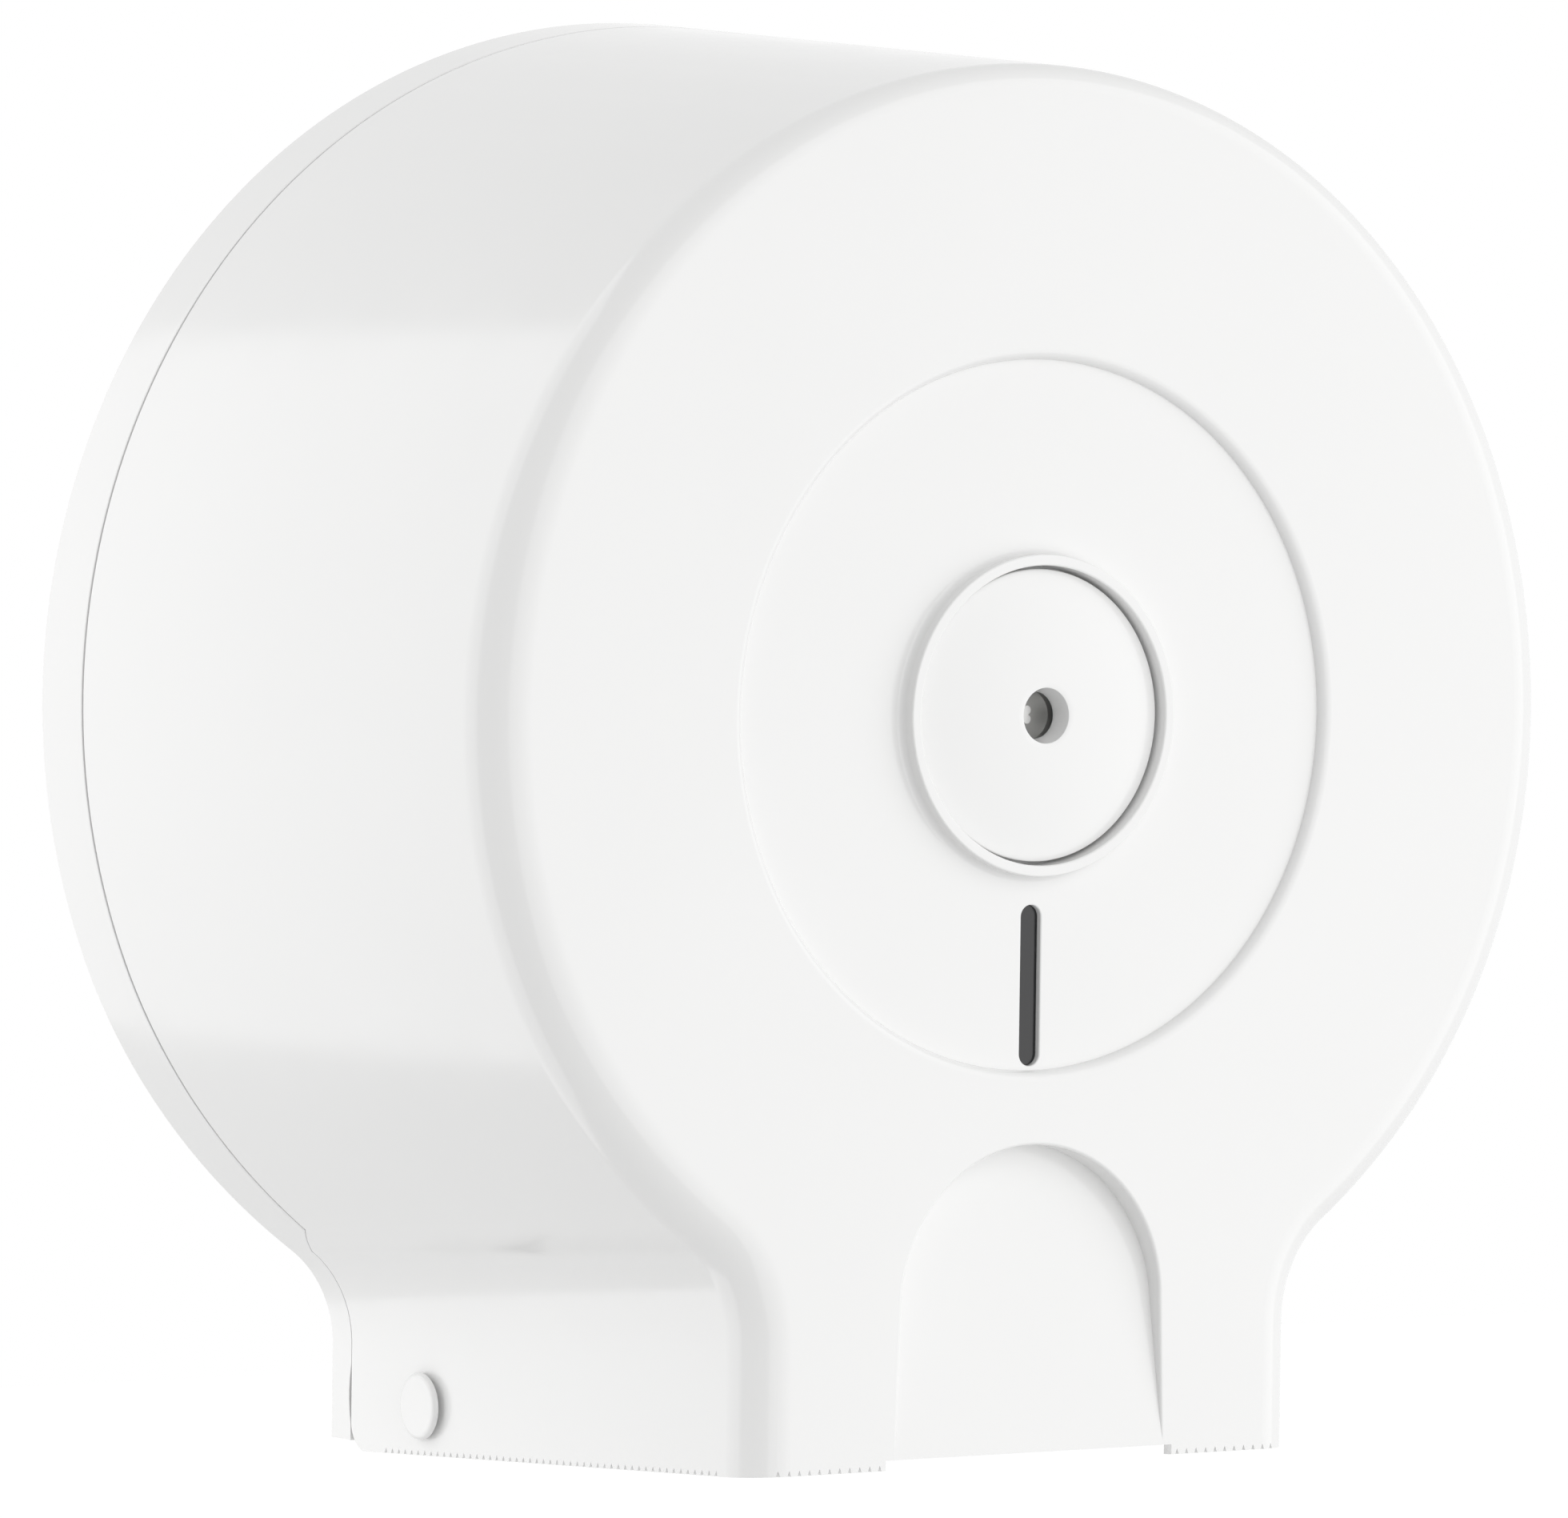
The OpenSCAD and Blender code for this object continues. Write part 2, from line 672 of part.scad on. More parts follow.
// Turning bolt, shown in its open position with its end upwards
module lock_bolt() {
    hub_r = 8;
    end_r = bolt_w / 2;
    color(steel) from_wall() translate([0, 0, bolt_d]) linear_extrude(bolt_t) difference() {
        union() {
            circle(hub_r);
            translate([-end_r, 0]) square([bolt_w, bolt_reach - end_r]);
            translate([0, bolt_reach - end_r]) circle(end_r);
        }
        square(drive_w + 2 * snug, center = true);
    }
}

// Hexagon-head screw with a fixed washer
module bolt_screw() {
    washer_back_d = bolt_d - 1.1;
    head_r = 3.5;
    head_t = 2.5;
    color(steel) from_wall() {
        tube(6, 0, washer_back_d, bolt_d - snug);
        tube(bolt_screw_r, 0, bolt_d - 0.5, bolt_d + 8);
        translate([0, 0, washer_back_d - head_t]) cylinder(r = head_r, h = head_t + 0.1, $fn = 6);
    }
}

// Hinge pin pushed in from the side: a flat head with a rounded edge, a short neck, a shaft and a
// clip groove
module hinge_pin(s) {
    neck_x = foot_x(hinge_d - cap_r) + 0.1;
    head_x = foot_x(hinge_d) + 0.9;
    head_t = 1.3;
    head_edge_r = 1.1;
    neck_r = cap_r - 2;
    color(white) from_wall() translate([0, hinge_u, hinge_d]) rotate([0, s * 90, 0]) rotate_extrude() {
        polygon([[0, lug_in - 3], [pin_r - 0.4, lug_in - 3], [pin_r, lug_in - 2.6], [pin_r, clip_groove_x],
                 [clip_groove_r, clip_groove_x], [clip_groove_r, clip_groove_x + clip_groove_w],
                 [pin_r, clip_groove_x + clip_groove_w], [pin_r, neck_x], [neck_r, neck_x], [neck_r, head_x],
                 [cap_r - 0.2, head_x],
                 each [for (a = [0:22.5:90]) [cap_r - head_edge_r * (1 - cos(a)),
                                              head_x + head_t - head_edge_r * (1 - sin(a))]],
                 [0, head_x + head_t]]);
    }
}

module hinge_pin_left() {
    hinge_pin(-1);
}

module hinge_pin_right() {
    hinge_pin(1);
}

// Spring clip in the pin's groove, open on one side
module hinge_clip(s) {
    clip_r = 5.5;
    mouth_w = 3.4;
    middle_x = clip_groove_x + clip_groove_w / 2;
    color(steel) from_wall() translate([s * middle_x, hinge_u, hinge_d]) rotate([0, 90, 0]) difference() {
        cylinder(r = clip_r, h = clip_t, center = true);
        cylinder(r = clip_groove_r + snug, h = 2 * clip_t, center = true);
        translate([0, -mouth_w / 2, -clip_t]) cube([clip_r + 1, mouth_w, 2 * clip_t]);
    }
}

module hinge_clip_left() {
    hinge_clip(-1);
}

module hinge_clip_right() {
    hinge_clip(1);
}

back_shell();
spindle();
spindle_screws();
roll_spool();
thrust_washer();
retaining_ring();
lock_keeper();
keeper_screws();
cover_shell();
level_window();
lock_rosette();
rosette_screws();
lock_housing();
lock_washer();
lock_nut();
lock_barrel();
lock_bolt();
bolt_screw();
hinge_pin_left();
hinge_pin_right();
hinge_clip_left();
hinge_clip_right();
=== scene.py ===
import math

import bmesh
import bpy
from mathutils import Matrix, Vector


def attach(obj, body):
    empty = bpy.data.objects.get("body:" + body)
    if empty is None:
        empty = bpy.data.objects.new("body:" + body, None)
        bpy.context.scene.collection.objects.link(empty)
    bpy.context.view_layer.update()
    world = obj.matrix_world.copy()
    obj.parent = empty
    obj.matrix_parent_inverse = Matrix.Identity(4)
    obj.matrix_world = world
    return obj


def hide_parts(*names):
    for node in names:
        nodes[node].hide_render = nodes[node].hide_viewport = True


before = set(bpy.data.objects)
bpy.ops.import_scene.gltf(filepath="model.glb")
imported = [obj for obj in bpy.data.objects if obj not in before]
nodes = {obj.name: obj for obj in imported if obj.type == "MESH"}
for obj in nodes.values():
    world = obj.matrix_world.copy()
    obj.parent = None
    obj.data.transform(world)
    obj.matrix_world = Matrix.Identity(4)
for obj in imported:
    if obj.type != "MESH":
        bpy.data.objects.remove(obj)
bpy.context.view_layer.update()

MM = 0.001

# Sizes of the body in millimetres, with depths measured from the wall towards the front
RIM_R, FACE_R, BODY_D, WALL = 139.97, 126.8, 147.5, 2.5
EDGE_R, TOP_EDGE_R = 9.0, 4.5
FLANK_IN, FLANK_FRONT_IN, FLANK_FROM = 1.35, 0.4, math.radians(22)
FOOT_W, FOOT_FRONT_W, FOOT_DROP, BLEND_R = 140.4, 131.2, 151.6, 24.0
SEAM_D, FOOT_SEAM_D, SEAM_GAP, FOOT_GAP = 14.5, 7.5, 0.7, 0.2
LIP_REAR_DROP, LIP_FRONT_DROP, TOOTH_PITCH, TOOTH = 153.7, 146.3, 2.35, 1.1
PANEL_R, PANEL_SINK, ARCH_R, ARCH_TOP, ARCH_SINK = 69.5, 2.2, 31.0, 84.0, 7.1
SLOT_LEN, SLOT_R, SLOT_U = 31.5, 2.35, 52.9
COLLAR_R, COLLAR_H, COLLAR_T = 29.3, 1.5, 2.2
ROSETTE_R, DOME_RISE, KEY_R = 28.6, 3.1, 5.4
HINGE_D, HINGE_DROP, PIN_R, CAP_R = 34.5, 142.2, 3.0, 6.8
HOLE_SPAN_X, HOLE_SPAN_Z, HOLE_R = 150.0, 120.0, 2.75

PANEL_D = BODY_D - PANEL_SINK
PANEL_BACK_D = PANEL_D - WALL
COLLAR_D = BODY_D + COLLAR_H
ROSETTE_EDGE_D = COLLAR_D - 2.5
ROSETTE_TOP_D = ROSETTE_EDGE_D + DOME_RISE
LEDGE_D, LEDGE_R = ROSETTE_EDGE_D - 4.1, 24.0
FLOOR_D = LEDGE_D - 2.5
FLOOR_BACK_D = FLOOR_D - WALL
LOCK_BOSS_R, HOUSING_R, SNUG, RUN = 33.0, 9.0, 0.05, 0.06
BOSS_R, BOSS_D, FLANGE_SCREW_R = 40.0, 6.5, 29.0
LUG_IN, LUG_OUT, LUG_R, EAR_R, LIP_ROUND_R = 59.5, 65.0, 10.0, 40.0, 6.0
PEG_R, PEG_CIRCLE_R, PEG_HOLE_R, PEG_BORE_R = 3.0, 20.0, 1.5, 1.25
STAKE_R, STAKE_X, STAKE_H = 1.4, 5.0, 2.6
LOW, FAR = -180.0, 300.0


# Meshes: shapes are drawn in front view as (x, height) with a depth, in millimetres

def at(x, u, d):
    return Vector((x, -d, u)) * MM


def solid(name, points, faces):
    mesh = bpy.data.meshes.new(name)
    mesh.from_pydata([at(*p) for p in points], [], faces)
    work = bmesh.new()
    work.from_mesh(mesh)
    bmesh.ops.recalc_face_normals(work, faces=work.faces)
    work.to_mesh(mesh)
    work.free()
    obj = bpy.data.objects.new(name, mesh)
    bpy.context.scene.collection.objects.link(obj)
    return obj


def stack(name, rings):
    """Closed solid through rings of equal point counts."""
    n = len(rings[0])
    points = [p for ring in rings for p in ring]
    faces = [[k * n + i, k * n + (i + 1) % n, (k + 1) * n + (i + 1) % n, (k + 1) * n + i]
             for k in range(len(rings) - 1) for i in range(n)]
    faces += [list(range(n)), list(range(len(points) - n, len(points)))]
    return solid(name, points, faces)


def slab(name, shape, d0, d1):
    """Front-view shape extruded in depth."""
    return stack(name, [[(x, u, d) for x, u in shape] for d in (d0, d1)])


def across(name, profile, x0, x1):
    """Shape of (depth, height) points extruded sideways."""
    return stack(name, [[(x, u, d) for d, u in profile] for x in (x0, x1)])


def lathe(name, profile, steps=160, place=None):
    """Closed (radius, depth) profile turned about the drum's axis, or about the axis that place gives."""
    place = place or (lambda r, t, h: (r * math.cos(t), r * math.sin(t), h))
    points, rows = [], []
    for r, h in profile:
        count = 1 if r < 1e-6 else steps
        rows.append([len(points) + i for i in range(count)])
        points += [place(r, 2 * math.pi * i / steps, h) for i in range(count)]
    faces = []
    for a, b in zip(rows, rows[1:] + rows[:1]):
        for i in range(steps):
            j = (i + 1) % steps
            if len(a) > 1 and len(b) > 1:
                faces.append([a[i], a[j], b[j], b[i]])
            elif len(a) > 1:
                faces.append([a[i], a[j], b[0]])
            elif len(b) > 1:
                faces.append([a[0], b[j], b[i]])
    return solid(name, points, faces)


def tube(name, r_out, r_in, d0, d1, steps=160):
    return lathe(name, [(r_in, d0), (r_out, d0), (r_out, d1), (r_in, d1)], steps)


def rod(name, r, x, u, d0, d1, steps=48):
    return lathe(name, [(0, d0), (r, d0), (r, d1), (0, d1)], steps,
                 lambda q, t, h: (x + q * math.cos(t), u + q * math.sin(t), h))


def hinge_rod(name, r, x0, x1, steps=160):
    return lathe(name, [(0, x0), (r, x0), (r, x1), (0, x1)], steps,
                 lambda q, t, h: (h, -HINGE_DROP + q * math.sin(t), HINGE_D + q * math.cos(t)))


def block(name, x, u, d):
    return slab(name, [(x[0], u[0]), (x[1], u[0]), (x[1], u[1]), (x[0], u[1])], d[0], d[1])


def combine(target, tool, operation):
    """Boolean of the two, applied to the target's mesh; the tool is used up."""
    step = target.modifiers.new("step", "BOOLEAN")
    step.operation = operation
    step.object = tool
    step.solver = "EXACT"
    made = bpy.data.meshes.new_from_object(
        target.evaluated_get(bpy.context.evaluated_depsgraph_get()))
    target.modifiers.clear()
    old, target.data = target.data, made
    bpy.data.meshes.remove(old)
    bpy.data.meshes.remove(tool.data)
    return target


def cut(target, *tools):
    for tool in tools:
        combine(target, tool, "DIFFERENCE")
    return target


def add(target, *tools):
    for tool in tools:
        combine(target, tool, "UNION")
    return target


def common(target, tool):
    return combine(target, tool, "INTERSECT")


def finish_shading(obj, angle=32):
    """Smooth faces with crisp edges, flat faces kept flat where they run into a rounded edge."""
    work = bmesh.new()
    work.from_mesh(obj.data)
    bmesh.ops.remove_doubles(work, verts=work.verts, dist=2e-6)
    bmesh.ops.dissolve_degenerate(work, edges=work.edges, dist=2e-6)
    work.to_mesh(obj.data)
    work.free()
    obj.data.shade_smooth()
    obj.data.set_sharp_from_angle(angle=math.radians(angle))
    weigh = obj.modifiers.new("weigh", "WEIGHTED_NORMAL")
    weigh.mode = "FACE_AREA"
    weigh.weight = 50
    weigh.keep_sharp = True
    made = bpy.data.meshes.new_from_object(
        obj.evaluated_get(bpy.context.evaluated_depsgraph_get()))
    obj.modifiers.clear()
    old, obj.data = obj.data, made
    bpy.data.meshes.remove(old)
    return obj


def arc(cx, cy, r, a0, a1, steps):
    """Points on an arc from angle a0 to a1, in degrees."""
    return [(cx + r * math.cos(math.radians(a0 + (a1 - a0) * i / steps)),
             cy + r * math.sin(math.radians(a0 + (a1 - a0) * i / steps))) for i in range(steps + 1)]


def around(count, r, start=0.0):
    """Evenly spaced (x, height) places on a circle about the drum's axis, from a start angle in degrees."""
    turns = [math.radians(start + 360 / count * i) for i in range(count)]
    return [(r * math.cos(t), r * math.sin(t)) for t in turns]


# Outline of the body

def drum_r(d):
    return RIM_R - (RIM_R - FACE_R) * d / BODY_D


def foot_x(d):
    return (FOOT_W - (FOOT_W - FOOT_FRONT_W) * d / BODY_D) / 2


def flank(d):
    return FLANK_IN - (FLANK_IN - FLANK_FRONT_IN) * d / BODY_D


def flank_share(t, a):
    """Share of the flank's inset: none at the sides, all of it at angle a below them."""
    x = max(0.0, max(-t, t - math.pi) - FLANK_FROM) / (a - FLANK_FROM)
    return x * x * (3 - 2 * x)


def edge_at(t):
    """Radius of the rounded front edge in a direction round the drum."""
    return EDGE_R - (EDGE_R - TOP_EDGE_R) * max(0.0, math.sin(t)) ** 2


def level_at(level, e):
    """Depth and inset of a level: (depth, inset), or (None, skin, turn) on the rounded edge of radius e."""
    if len(level) == 2:
        return level
    q = e - level[1]
    return BODY_D - e + q * math.sin(level[2]), level[1] + q * (1 - math.cos(level[2]))


def outline(level, drop, drum_steps=216, blend_steps=20):
    d, inset = level_at(level, EDGE_R)
    w, b = foot_x(d) - inset, BLEND_R + inset
    cx = w + b
    cu = -math.sqrt((drum_r(d) - flank(d) - inset + b) ** 2 - cx ** 2)
    a = math.atan2(-cu, cx)
    blend = [(x, u, d) for x, u in arc(cx, cu, b, 180, 180 - math.degrees(a), blend_steps)]
    drum = []
    for i in range(1, drum_steps):
        t = -a + (math.pi + 2 * a) * i / drum_steps
        depth, skin = level_at(level, edge_at(t))
        r = drum_r(depth) - flank(depth) * flank_share(t, a) - skin
        drum.append((r * math.cos(t), r * math.sin(t), depth))
    return [(w, -drop, d)] + blend + drum + [(-x, u, d) for x, u, d in reversed(blend)] + [(-w, -drop, d)]


def loft(name, levels, drop):
    return stack(name, [outline(level, drop) for level in levels])


def edge_levels(steps, skin):
    return [(None, skin, math.pi / 2 * i / steps) for i in range(steps + 1)]


def stadium(length, r, steps=20):
    half = length / 2 - r
    return arc(0, half, r, 0, 180, steps) + arc(0, -half, r, 180, 360, steps)


# Front cover

def arch_shape(grow, steps=60):
    r = ARCH_R + grow
    cu = -ARCH_TOP - ARCH_R
    return [(r + 1.6, -160)] + arc(0, cu, r, 0, 180, steps) + [(-r - 1.6, -160)]


def arch_space(name, back, front):
    bottom, top = LIP_FRONT_DROP - 2, ARCH_TOP - 8
    slope = ARCH_SINK / (bottom - ARCH_TOP)
    return across(name, [(back, -160), (back, -bottom), (back - slope * (bottom - top), -top),
                         (front, -top), (front, -160)], -RIM_R, RIM_R)


def flared(shape, d0, d1, flare, steps=6):
    """Rings of a cutter whose outline widens by a round of that radius at depth d1."""
    levels = [(d0, 0.0)]
    levels += [(d1 - flare + flare * math.sin(a), flare * (1 - math.cos(a)))
               for a in (math.pi / 2 * i / steps for i in range(steps + 1))]
    levels.append((d1 + 6, flare))
    return [[(x, u, d) for x, u in shape(grow)] for d, grow in levels]


def lip_u(d):
    return -LIP_REAR_DROP + (d - FOOT_SEAM_D) * (LIP_REAR_DROP - LIP_FRONT_DROP) / (BODY_D - FOOT_SEAM_D)


def cut_lip(cover):
    """Cuts the sloping lower edge with its teeth, the round rear corner and the gap under the arch."""
    first = FOOT_SEAM_D + 13
    count = int((BODY_D - EDGE_R - first) / TOOTH_PITCH)
    profile = [(0, LOW), (0, lip_u(0))]
    for i in range(count):
        d = first + i * TOOTH_PITCH
        profile += [(d - TOOTH / 2, lip_u(d)), (d, lip_u(d) + TOOTH), (d + TOOTH / 2, lip_u(d))]
    profile += [(BODY_D + 1, lip_u(BODY_D + 1)), (BODY_D + 1, LOW)]
    cut(cover, across("lip", profile, -RIM_R, RIM_R))
    low, r = -LIP_REAR_DROP, LIP_ROUND_R
    corner = [(FOOT_SEAM_D - 3, low - 3), (FOOT_SEAM_D + r, low - 3)]
    corner += arc(FOOT_SEAM_D + r, low + r + 0.1, r, 270, 180, 14)
    corner += [(FOOT_SEAM_D - 3, low + r + 0.1)]
    cut(cover, across("rear_corner", corner, -RIM_R, RIM_R))
    gap_w = 34.4
    front_count = int((FOOT_FRONT_W / 2 - 3 - gap_w - TOOTH_PITCH) / TOOTH_PITCH)
    for side in (-1, 1):
        for i in range(front_count + 1):
            x = side * (gap_w + 1.4 + i * TOOTH_PITCH)
            x0, x1 = x - TOOTH / 2, x + TOOTH / 2
            notch = [(x0, -1), (x0, -0.3), (x, TOOTH), (x1, -0.3), (x1, -1)]
            cut(cover, slab("notch", [(px, pu - LIP_FRONT_DROP) for px, pu in notch],
                            BODY_D - EDGE_R + 2, BODY_D + 2))
    return cut(cover, block("front_gap", (-gap_w, gap_w), (LOW, -LIP_FRONT_DROP + 2),
                            (BODY_D - EDGE_R, BODY_D + 1)))


def make_cover():
    cover = loft("cover_body", [(FOOT_SEAM_D, 0)] + edge_levels(14, 0), 160)
    cut(cover, loft("inside", [(FOOT_SEAM_D - 1, WALL)] + edge_levels(8, WALL), 170))
    add(cover, tube("panel_back", PANEL_R + 4.5, 0, PANEL_BACK_D, BODY_D - 1),
        tube("lock_boss", LOCK_BOSS_R, 0, FLOOR_BACK_D, PANEL_D - 0.5))
    add(cover, common(slab("arch_back", arch_shape(WALL), BODY_D - 12, BODY_D - 1),
                      arch_space("arch_back_space", BODY_D - WALL, BODY_D)))
    for side in (-1, 1):
        add(cover, rod("stake", STAKE_R, side * STAKE_X, -SLOT_U, PANEL_BACK_D - STAKE_H, PANEL_BACK_D + 0.4))
    panel = [(0, PANEL_D), (PANEL_R, PANEL_D)]
    panel += arc(PANEL_R + PANEL_SINK, PANEL_D, PANEL_SINK, 180, 90, 10)[1:]
    panel += [(PANEL_R + PANEL_SINK, BODY_D + 5), (0, BODY_D + 5)]
    cut(cover, lathe("panel_space", panel, 288))
    crest_r, root_r = 0.4, 1.55
    outer = COLLAR_R + COLLAR_T
    collar = [(COLLAR_R, PANEL_D - 0.5), (outer + root_r, PANEL_D - 0.5), (outer + root_r, PANEL_D - 0.03)]
    collar += arc(outer + root_r, PANEL_D - 0.03 + root_r, root_r, 270, 180, 8)[1:]
    collar += arc(outer - crest_r, COLLAR_D - crest_r, crest_r, 0, 90, 6)
    collar += arc(COLLAR_R + crest_r, COLLAR_D - crest_r, crest_r, 90, 180, 6)
    add(cover, lathe("collar", collar, 216))
    cut(cover, tube("pocket", COLLAR_R, 0, LEDGE_D, PANEL_D + 5, 216),
        tube("lower_pocket", LEDGE_R, 0, FLOOR_D, LEDGE_D + 1, 96),
        tube("housing_hole", HOUSING_R + SNUG, 0, FLOOR_BACK_D - 1, FLOOR_D + 1, 96))
    for x, u in around(3, PEG_CIRCLE_R, 90):
        cut(cover, rod("peg_hole", PEG_HOLE_R, x, u, FLOOR_BACK_D - 1, FLOOR_D + 1, 32))
    slot = flared(lambda grow: [(x, u - SLOT_U) for x, u in stadium(SLOT_LEN + 2 * grow, SLOT_R + grow)],
                  PANEL_BACK_D - 3, PANEL_D, 0.35, 4)
    cut(cover, stack("slot", slot))
    arch = stack("arch", flared(arch_shape, BODY_D - 12, BODY_D, 0.7))
    cut(cover, common(arch, arch_space("arch_front_space", BODY_D, BODY_D + 8)))
    rear = block("rear", (-FAR / 2, FAR / 2), (-FAR, FAR), (0, SEAM_D))
    cut(cover, cut(rear, hinge_rod("rear_arc", EAR_R, -FAR, FAR, 240)))
    cut(cover, hinge_rod("pin_hole", PIN_R + SNUG, -FAR, FAR, 48))
    return finish_shading(cut_lip(cover))


# Back shell

def make_back():
    front_d = SEAM_D - SEAM_GAP
    foot_front_d = FOOT_SEAM_D - FOOT_GAP
    soft = 0.35
    levels = [(0, 0.3), (0.3, 0), (front_d - soft, 0), (front_d - 0.1, 0.12), (front_d, soft)]
    shell = loft("back_body", levels, FOOT_DROP)
    cut(shell, loft("inside", [(WALL, WALL), (front_d + 1, WALL)], FOOT_DROP - WALL))
    add(shell, tube("boss", BOSS_R, 0, WALL - 0.1, BOSS_D))
    for i in range(8):
        t = math.radians(45 * i)
        c, s = math.cos(t), math.sin(t)
        rib = [(a * c - b * s, a * s + b * c) for a, b in
               ((BOSS_R - 1, -1), (RIM_R - 3, -1), (RIM_R - 3, 1), (BOSS_R - 1, 1))]
        add(shell, slab("rib", rib, WALL - 0.1, WALL + 3.5))
    for x in (-1, 1):
        for u in (-1, 1):
            add(shell, rod("hole_boss", 8, x * HOLE_SPAN_X / 2, u * HOLE_SPAN_Z / 2, WALL - 0.1, WALL + 2))
    inset, t, root_d = WALL + 0.7, 1.3, 9.0
    root_r = drum_r(root_d) - WALL + 0.4
    tongue = lathe("tongue", [(drum_r(root_d) - inset - t, root_d), (root_r, root_d), (root_r - 0.4, front_d),
                              (drum_r(front_d) - inset, front_d), (drum_r(front_d + 4) - inset, front_d + 4),
                              (drum_r(front_d + 4) - inset - t, front_d + 4)], 216)
    add(shell, common(tongue, block("tongue_space", (-FAR, FAR), (-56, FAR), (0, BODY_D))))
    step = block("step", (-FAR / 2, FAR / 2), (-FAR, FAR), (foot_front_d, FAR))
    cut(shell, common(step, hinge_rod("step_arc", EAR_R + FOOT_GAP, -FAR, FAR, 240)))
    reach = LIP_ROUND_R + math.hypot(FOOT_SEAM_D + LIP_ROUND_R - HINGE_D,
                                     HINGE_DROP - LIP_REAR_DROP + LIP_ROUND_R + 0.1)
    cut(shell, hinge_rod("corner_path", reach + FOOT_GAP, -FAR, FAR, 240))
    for x in (-1, 1):
        for u in (-1, 1):
            cut(shell, rod("wall_hole", HOLE_R, x * HOLE_SPAN_X / 2, u * HOLE_SPAN_Z / 2, -1, 7, 64))
    for x, u in around(4, FLANGE_SCREW_R, 45):
        cut(shell, rod("screw_hole", 2 + SNUG, x, u, 3, 9, 32))
    u0 = -HINGE_DROP
    ear = [(WALL - 0.1, -FOOT_DROP + 1), (HINGE_D, u0 - LUG_R)]
    ear += arc(HINGE_D, u0, LUG_R, -90, 90, 32)[1:] + [(WALL - 0.1, u0 + 20)]
    for side in (-1, 1):
        x0, x1 = sorted((side * LUG_IN, side * LUG_OUT))
        lug = across("lug", ear, x0, x1)
        cut(lug, hinge_rod("lug_hole", PIN_R + RUN, x0 - 2, x1 + 2, 64))
        add(shell, lug)
    return finish_shading(shell)


def make_rosette():
    dome_r = (ROSETTE_R ** 2 + DOME_RISE ** 2) / (2 * DOME_RISE)
    centre_d = ROSETTE_TOP_D - dome_r
    skin, hub_d, hub_r, narrow, soft = 2.0, 145.2, 8.0, KEY_R - 0.8, 0.25

    def dome(r, radius):
        return centre_d + math.sqrt(radius ** 2 - r ** 2)

    rim = ROSETTE_R - 2.4
    profile = [(rim, LEDGE_D), (ROSETTE_R, LEDGE_D), (ROSETTE_R, ROSETTE_EDGE_D - soft),
               (ROSETTE_R - 0.08, ROSETTE_EDGE_D - 0.08), (ROSETTE_R - soft, dome(ROSETTE_R - soft, dome_r))]
    steps = 24
    for i in range(1, steps):
        r = ROSETTE_R - soft + (KEY_R + 0.4 - ROSETTE_R + soft) * i / steps
        profile.append((r, dome(r, dome_r)))
    top = dome(KEY_R, dome_r)
    profile += [(KEY_R + 0.25, top - 0.02), (KEY_R + 0.06, top - 0.12), (KEY_R, top - 0.32),
                (narrow, ROSETTE_TOP_D - 3.2), (narrow, hub_d), (hub_r, hub_d)]
    for i in range(9):
        r = hub_r + (rim - hub_r) * i / 8
        profile.append((r, dome(r, dome_r - skin)))
    plate = lathe("rosette_plate", profile, 216)
    peg_end = dome(PEG_CIRCLE_R, dome_r - skin) + 0.8
    for x, u in around(3, PEG_CIRCLE_R, 90):
        peg = rod("peg", PEG_R, x, u, FLOOR_D + SNUG, peg_end, 40)
        add(plate, cut(peg, rod("peg_bore", PEG_BORE_R, x, u, FLOOR_D - 1, FLOOR_D + 4, 24)))
    return finish_shading(plate)


def make_pin(side):
    neck_x = foot_x(HINGE_D - CAP_R) + 0.1
    head_x = foot_x(HINGE_D) + 0.9
    groove_x, top, edge = LUG_IN - 1.5, head_x + 1.3, 1.1
    profile = [(0, LUG_IN - 3), (PIN_R - 0.4, LUG_IN - 3), (PIN_R, LUG_IN - 2.6), (PIN_R, groove_x),
               (PIN_R - 0.7, groove_x), (PIN_R - 0.7, groove_x + 0.9), (PIN_R, groove_x + 0.9), (PIN_R, neck_x),
               (CAP_R - 2, neck_x), (CAP_R - 2, head_x), (CAP_R - 0.2, head_x)]
    profile += arc(CAP_R - edge, top - edge, edge, 0, 90, 8) + [(0, top)]
    pin = lathe("pin_" + ("left" if side < 0 else "right"), profile, 96,
                lambda r, t, h: (side * h, -HINGE_DROP + r * math.sin(t), HINGE_D + r * math.cos(t)))
    return finish_shading(pin)


# Materials

